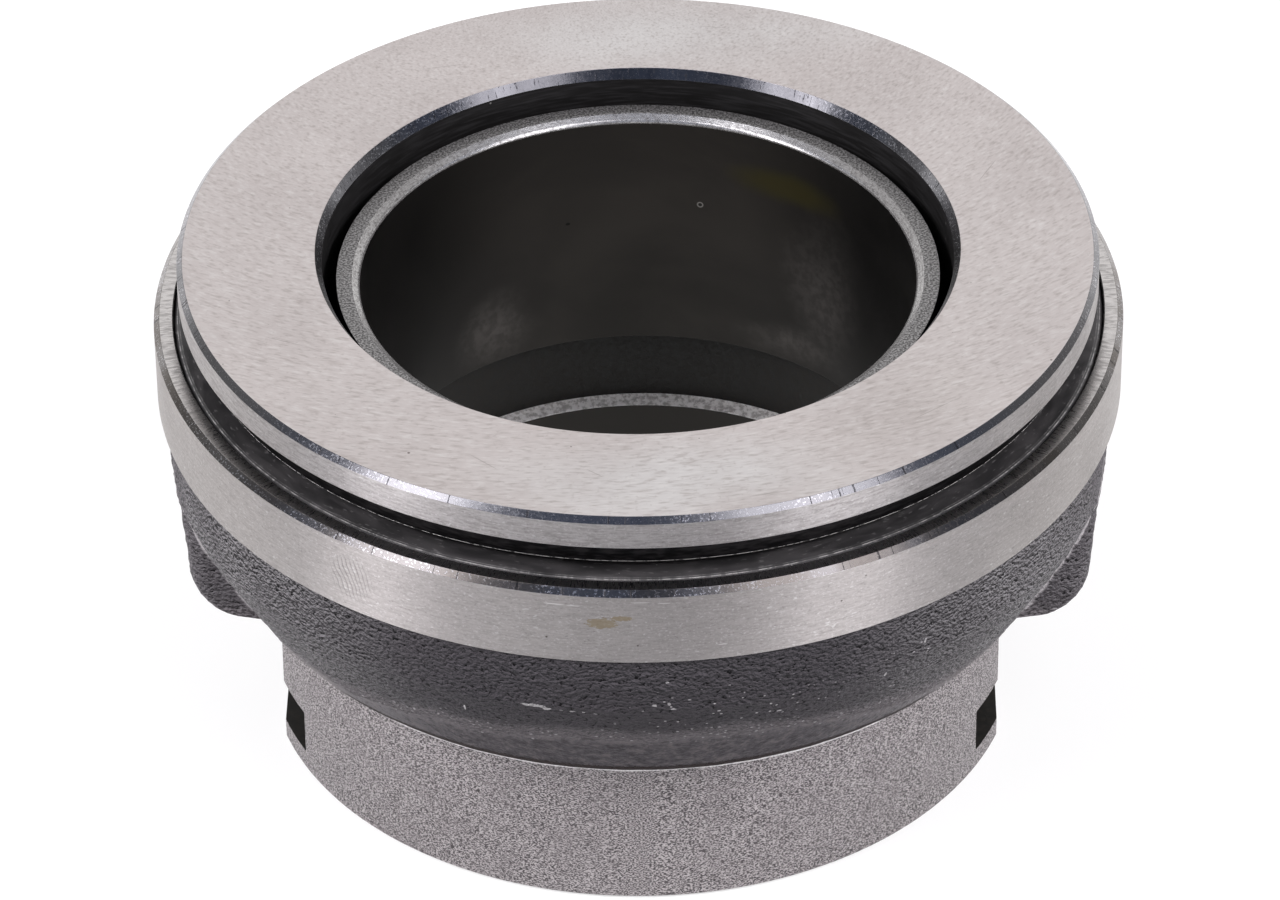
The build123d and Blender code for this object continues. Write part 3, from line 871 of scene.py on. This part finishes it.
def outer_case():
    """The pressed seal case in the mouth of the cup."""
    fine = EDGE_ROUND
    corners = [
        (SEAL_SEAT, SEAL_SEAT_Z, fine, 0),
        (SEAL_SEAT, CASE_TOP, CASE_ROUND, 0),
        (CASE_INNER, CASE_TOP, fine, 0),
        (CASE_INNER, CASE_TOP - CASE_SHEET, fine, 0),
        (SEAL_SEAT - CASE_SHEET, CASE_TOP - CASE_SHEET, 0, 0),
        (SEAL_SEAT - CASE_SHEET, SEAL_SEAT_Z, fine, 0),
    ]
    return lathe("outer_seal_case_pressed", rounded(corners), split_angles(TURNED_COLUMNS), [seal_skin()],
                 "housing", "outer_seal_case")


def bowl_profile():
    """Heights and radii of the bowl: a round foot, a cone and a round shoulder."""
    corners = [
        (TUBE - HIDDEN_INSET, TUBE_TOP, 0, 0),
        (BOWL_FOOT, TUBE_TOP, FOOT_ROUND, 0),
        (BOWL, CONE_TOP, SHOULDER_ROUND, 0),
        (BOWL, BAND_FOOT + BOWL_OVERRUN, 0, 0),
    ]
    stations = rounded(corners, closed=False)[1:]
    return [z for _, z, _ in stations], [r for r, _, _ in stations]


def lug_reach(height):
    """How far out the lugs' drafted planes stand at a height, without and with the turn under at the foot."""
    rise = height - TUBE_TOP
    plane = REACH_FOOT + rise * math.tan(LUG_DRAFT)
    if rise > LUG_FOOT_ROUND * (1 - math.sin(LUG_DRAFT)):
        return plane, plane
    middle = REACH_FOOT + LUG_FOOT_ROUND * (math.tan(LUG_DRAFT) - 1 / math.cos(LUG_DRAFT))
    return plane, middle + math.sqrt(LUG_FOOT_ROUND ** 2 - (LUG_FOOT_ROUND - rise) ** 2)


def forged_outline(angles, height):
    """Radius of the raw outer surface at a height, and how near each point lies to the root of a lug."""
    inward = np.abs(np.cos(angles))
    sideways = np.abs(np.sin(angles))
    plane, foot = lug_reach(height)
    bowl = np.full(angles.shape, np.interp(height, *bowl_profile()))
    slope = math.tan(LUG_FLARE)
    flank = (LUG_HALF + plane * slope) / (sideways + slope * inward)
    side = foot / np.maximum(inward, NEAR_FRONT)
    lug = np.minimum(flank, plane / np.maximum(inward, NEAR_FRONT))
    corner = LUG_CORNER_ROUND - 0.5 * (plane - foot)
    corner_x = foot - corner
    corner_y = LUG_HALF + (plane - corner_x) * slope - corner * math.hypot(1, slope)
    toward = corner_x * inward + corner_y * sideways
    arc = toward ** 2 - corner_x ** 2 - corner_y ** 2 + corner ** 2
    rim = toward + np.sqrt(np.maximum(arc, 0))
    rim_x, rim_y = rim * inward, rim * sideways
    across = corner / math.hypot(1, slope)
    on_corner = (arc > 0) & (rim_y > corner_y) & (rim_x > corner_x + across * slope)
    lug = np.where(on_corner, rim, lug)
    lug = smaller(lug, side, LUG_EDGE_BLEND)
    turned = smaller(bowl, side, SIDE_BLEND)
    at_root = np.exp(-((flank - bowl) / SEAM_WIDTH) ** 2) * (inward > LUG_SIDE)
    seam = at_root * np.clip((side - bowl) / SEAM_FADE, 0, 1)
    return larger(turned, lug, LUG_ROOT_BLEND), seam


def forging():
    """The raw outer surface of the release body, from the ledge over the tube to the band."""
    angles = crowded_angles(FORGED_COLUMNS)
    rises = (1 - np.cos(np.linspace(0, math.pi / 2, FOOT_LEVELS)[:-1])) * FOOT_ROUND
    levels = TUBE_TOP + np.concatenate([rises, np.linspace(FOOT_ROUND, BAND_FOOT - TUBE_TOP, BOWL_LEVELS)])
    inside = TUBE - LEDGE_INSET
    stations, worn = [(inside, TUBE_TOP, 0)], [0.0]
    for level in levels:
        radius, seam = forged_outline(angles, level)
        if level == levels[0]:
            for share in (0.3, 0.6, 0.85):
                stations.append((inside + (radius - inside) * share, TUBE_TOP, 0))
                worn.append(0.0)
        places = [Vector((r * math.cos(a), r * math.sin(a), level)) for r, a in zip(radius, angles)]
        rough = np.array([unevenness(place, a, level) for place, a in zip(places, angles)])
        whole = np.array([0.9 + 0.7 * noise.noise(place * 0.9) for place in places])
        seam = seam * min(1, (BAND_FOOT - level) / SEAM_RUNOUT) * np.clip(whole, 0, 1)
        stations.append((radius + rough + seam * SEAM_HEIGHT, level, 0))
        worn.append(seam)
    top, _ = forged_outline(angles, BAND_FOOT)
    stations += [(top, BAND_FOOT + UNDERLAP, 0), (CUP + FORGED_WALL, BAND_FOOT + UNDERLAP, 0),
                 (CUP + FORGED_WALL, CONE_TOP, 0), (inside, TUBE_TOP + LEDGE_SHEET, 0)]
    worn += [0.0] * 4
    worn = np.array([np.broadcast_to(row, angles.shape) for row in worn])
    return lathe("release_body_forged", stations, angles, [forged_skin()],
                 "housing", "release_body", smooth_angle=50, worn=worn)


def unevenness(place, angle, height):
    """How far the raw surface stands out from the die's form at a place, in millimetres."""
    edge = min(1, (BAND_FOOT - height) / EVEN_EDGE)
    drift = STEP_DRIFT[0] * noise.noise(place * STEP_DRIFT[1])
    step = STEP_Z - STEP_FALL * math.cos(angle) ** 2 + drift
    below = min(1, max(0, (step - height) / STEP_WIDTH + 0.5))
    waves = WAVES[0] * noise.noise(place * WAVES[1])
    lumps, fine = (depth * noise.noise(Vector((place.x * across, place.y * across, place.z * up)))
                   for depth, across, up in (LUMPS, FINE_LUMPS))
    return edge * (waves + (lumps + fine) * (1 - CALM_BELOW * below) - STEP_DEPTH * below) - SKIN_INSET


def machined_body():
    """The turned, bored and milled surfaces of the release body."""
    band, chamfer, lip, seat, tube, bore, rim, cut, relief, edge, ledge = range(11)
    fine = EDGE_ROUND
    marks = [sign * math.acos(x / TUBE) + turn
             for x in (FLAT_X, GROOVE_X) for sign in (1, -1) for turn in (0, math.pi)]
    angles = split_angles(TURNED_COLUMNS, marks)
    inward = np.maximum(np.abs(np.cos(angles)), NEAR_FRONT)
    flat = FLAT_X / inward
    groove = GROOVE_X / inward
    in_groove = np.where(groove < TUBE - 1e-6, relief, tube)
    stations = [
        (GUIDE_BORE + MOUTH_CHAMFER, 0, tube),
        (np.minimum(TUBE - TUBE_EDGE, flat), 0, tube),
        (np.minimum(TUBE, flat), TUBE_EDGE, tube),
        (np.minimum(TUBE, flat), GROOVE_FOOT, in_groove),
        (np.minimum(TUBE, groove), GROOVE_FOOT, in_groove),
        (np.minimum(TUBE, groove), GROOVE_HEAD, in_groove),
        (np.minimum(TUBE, flat), GROOVE_HEAD, tube),
        (np.minimum(TUBE, flat), TUBE_TOP, seat),
    ]
    corners = [
        (TUBE - LEDGE_SHEET, TUBE_TOP + 2 * LEDGE_SHEET, 0, seat),
        (CUP + CUP_WALL, CONE_TOP, 0, seat),
        (CUP + CUP_WALL, BAND_FOOT, 0, seat),
        (BAND - BAND_BURR, BAND_FOOT, 0, cut),
        (BAND, BAND_FOOT + BAND_BURR, 0, band),
        (BAND, LIP - BAND_CHAMFER, fine, chamfer),
        (BAND - BAND_CHAMFER, LIP, fine, lip),
        (SEAL_SEAT + EDGE_BREAK, LIP, fine / 2, edge),
        (SEAL_SEAT, LIP - EDGE_BREAK, fine / 2, seat),
        (SEAL_SEAT, SEAL_SEAT_Z, 0, seat),
        (CUP, SEAL_SEAT_Z, 0, seat),
        (CUP, CUP_FLOOR, 0, seat),
        (SLEEVE, CUP_FLOOR, 0, seat),
        (SLEEVE, SLEEVE_TOP, fine, rim),
        (GUIDE_BORE + RIM_CHAMFER[0], SLEEVE_TOP, RIM_ROUNDS[0], cut),
        (GUIDE_BORE, SLEEVE_TOP - RIM_CHAMFER[1], RIM_ROUNDS[1], bore),
        (GUIDE_BORE, RELIEF_TOP, fine, relief),
        (RELIEF, RELIEF_TOP, 0, relief),
        (RELIEF, LOWER_LAND + RELIEF_RAMP, 0, ledge),
        (GUIDE_BORE, LOWER_LAND, fine, bore),
        (GUIDE_BORE, MOUTH_CHAMFER, fine, cut),
    ]
    stations += rounded(corners, closed=False)
    smudge = (colour(158, 138, 92), 0.55, 1.2, [mark(-3.6, BAND, 45.4, (1.7, 2, 0.75)),
                                                mark(-1.4, BAND, 46.1, (1.4, 2, 0.35))])
    scores = (colour(238, 236, 234), 0.8, 0.5, [
        mark(-9.0, BAND, 47.55, (1.2, 2, 0.09)), mark(-6.8, BAND, 47.5, (0.8, 2, 0.06)),
        mark(10.0, BAND, 42.2, (0.55, 2, 0.06)), mark(0.7, BAND, 48.15, (1.1, 2, 0.05)),
        mark(3.4, BAND, 48.0, (0.8, 2, 0.05))])
    specks = (colour(60, 50, 45), 0.8, 0.3, [mark(-9.9, BAND, 43.2, (0.14, 2, 0.12)),
                                             mark(0.4, BAND, 42.6, (0.12, 2, 0.1)),
                                             mark(24.0, BAND, 44.9, (0.14, 2, 0.12))])
    materials = [
        ground_side("band_ground", colour(194, 189, 187), colour(166, 160, 158), 0.6,
                    [smudge, scores, specks], (-34, 44.8, (4.0, 2, 4.2), 0.55)),
        polished_chamfer("band_chamfer", colour(126, 120, 116), colour(150, 146, 145), [
            mark(48, BAND, LIP, (36, 30, 6))]),
        lip_land(),
        dark_steel_and_painted_shade(),
        turned_tube(),
        dark_bore(),
        speckled_rim(),
        bright_cut(),
        black_relief(),
        worn_edge_and_glint("lip_edge", colour(120, 118, 117), 0.4),
        ledge_cut(),
    ]
    return lathe("release_body_machined", stations, angles, materials,
                 "housing", "release_body")


thrust_ring()
outer_case()
forging()
machined_body()

# The pieces inside keep their solids and get their own finish
finishes = {"stationary_race": race_steel(), "ball_cage": cage_brass(), "outer_seal_lip": rubber(),
            "inner_seal_lip": rubber(), "inner_seal_case": seal_skin()}
balls = ball_steel()
for name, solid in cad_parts.items():
    finish = finishes.get(name, balls if name.startswith("ball_") else None)
    if finish:
        solid.data.materials.clear()
        solid.data.materials.append(finish)


# Stage and light

def floor():
    """A wide pale floor, just under the part, that the camera sees as white; polished metal sees it dimmer in
    front of the part, a painted shade for the part's shadow there.
    """
    bpy.ops.mesh.primitive_circle_add(vertices=96, radius=FLOOR_RADIUS, fill_type="NGON",
                                      location=(0, 0, -FLOOR_DROP))
    disc = bpy.context.object
    disc.name = "floor"
    s = Surface("floor_pale", roughness=0.9)
    s.shader.inputs["Base Color"].default_value = grey(FLOOR_TONE)
    s.shader.inputs["Specular IOR Level"].default_value = 0.1
    s.shader.inputs["Emission Color"].default_value = grey(1.0)
    path = s.nodes.new("ShaderNodeLightPath")
    mirrored = s.math("MAXIMUM", path.outputs["Is Glossy Ray"], path.outputs["Is Transmission Ray"])
    # Painted shade: in the mirrors the floor glows less in front of the part
    in_mirror = s.times(mirrored, s.ramp(s.y, *FLOOR_GLOW_RANGE, *FLOOR_GLOW_MIRRORED))
    seen = s.times(path.outputs["Is Camera Ray"], FLOOR_GLOW)
    s.feed(s.shader.inputs["Emission Strength"], s.math("MAXIMUM", seen, in_mirror))
    disc.data.materials.append(s.material)


def softbox(name, azimuth, elevation, distance, size, glow, mirrored=True):
    """A rectangular lamp aimed at the part; azimuth 0 is the camera's side and 90 is to its right.

    One that isn't mirrored lights the matt surfaces only.
    """
    a, e = math.radians(azimuth), math.radians(elevation)
    back = Vector((math.sin(a) * math.cos(e), -math.cos(a) * math.cos(e), math.sin(e)))
    lamp = bpy.data.lights.new(name, "AREA")
    lamp.shape = "RECTANGLE"
    lamp.size, lamp.size_y = size
    lamp.energy = glow * math.pi * size[0] * size[1]
    lamp.color = LAMP_TINT
    holder = bpy.data.objects.new(name, lamp)
    holder.location = back * distance
    holder.rotation_mode = "QUATERNION"
    holder.rotation_quaternion = back.to_track_quat("Z", "Y")
    holder.visible_glossy = mirrored
    bpy.context.scene.collection.objects.link(holder)


def sky():
    """The room: white for the camera and at the horizon, a bright panel behind the part, dim elsewhere."""
    world = bpy.data.worlds.new("studio")
    world.use_nodes = True
    bpy.context.scene.world = world
    g = Graph(world.node_tree, "Generated")
    toward = g.nodes.new("ShaderNodeVectorMath")
    toward.operation = "DOT_PRODUCT"
    toward.inputs[1].default_value = PANEL_DIRECTION
    g.links.new(g.place, toward.inputs[0])
    path = g.nodes.new("ShaderNodeLightPath")
    room = g.mix(g.ramp(g.y, *SIDE_RANGE), (*DIM, 1), grey(SIDE_TONE))
    room = g.mix(g.ramp(toward.outputs["Value"], *PANEL_RANGE), room, grey(PANEL_TONE))
    room = g.mix(g.ramp(g.z, *HORIZON_RANGE), grey(1.0), room)
    ambient = g.mix(g.ramp(g.y, *AMBIENT_RANGE), grey(AMBIENT_FRONT), grey(AMBIENT_BACK))
    room = g.mix(path.outputs["Is Diffuse Ray"], room, ambient)
    room = g.mix(path.outputs["Is Camera Ray"], room, grey(1.0))
    g.links.new(room, g.nodes["Background"].inputs["Color"])


floor()
sky()
softbox("softbox_right", **LAMP_RIGHT)
softbox("softbox_left", **LAMP_LEFT)
softbox("key_right", **KEY_RIGHT, mirrored=False)
softbox("key_left", **KEY_LEFT, mirrored=False)

lens = bpy.data.cameras.new("camera")
lens.lens = CAMERA_LENS
lens.sensor_width = 36
lens.clip_start = 0.01
camera = bpy.data.objects.new("camera", lens)
turn = (Matrix.Rotation(CAMERA_AZIMUTH, 4, "Z") @ Matrix.Rotation(math.pi / 2 - CAMERA_ELEVATION, 4, "X")
        @ Matrix.Rotation(CAMERA_ROLL, 4, "Z"))
aim = Vector((0, 0, CAMERA_AIM_Z * MM))
camera.matrix_world = Matrix.Translation(aim) @ turn @ Matrix.Translation((0, 0, CAMERA_DISTANCE * MM))
bpy.context.scene.collection.objects.link(camera)
bpy.context.scene.camera = camera
bpy.context.scene.view_settings.view_transform = "Standard"
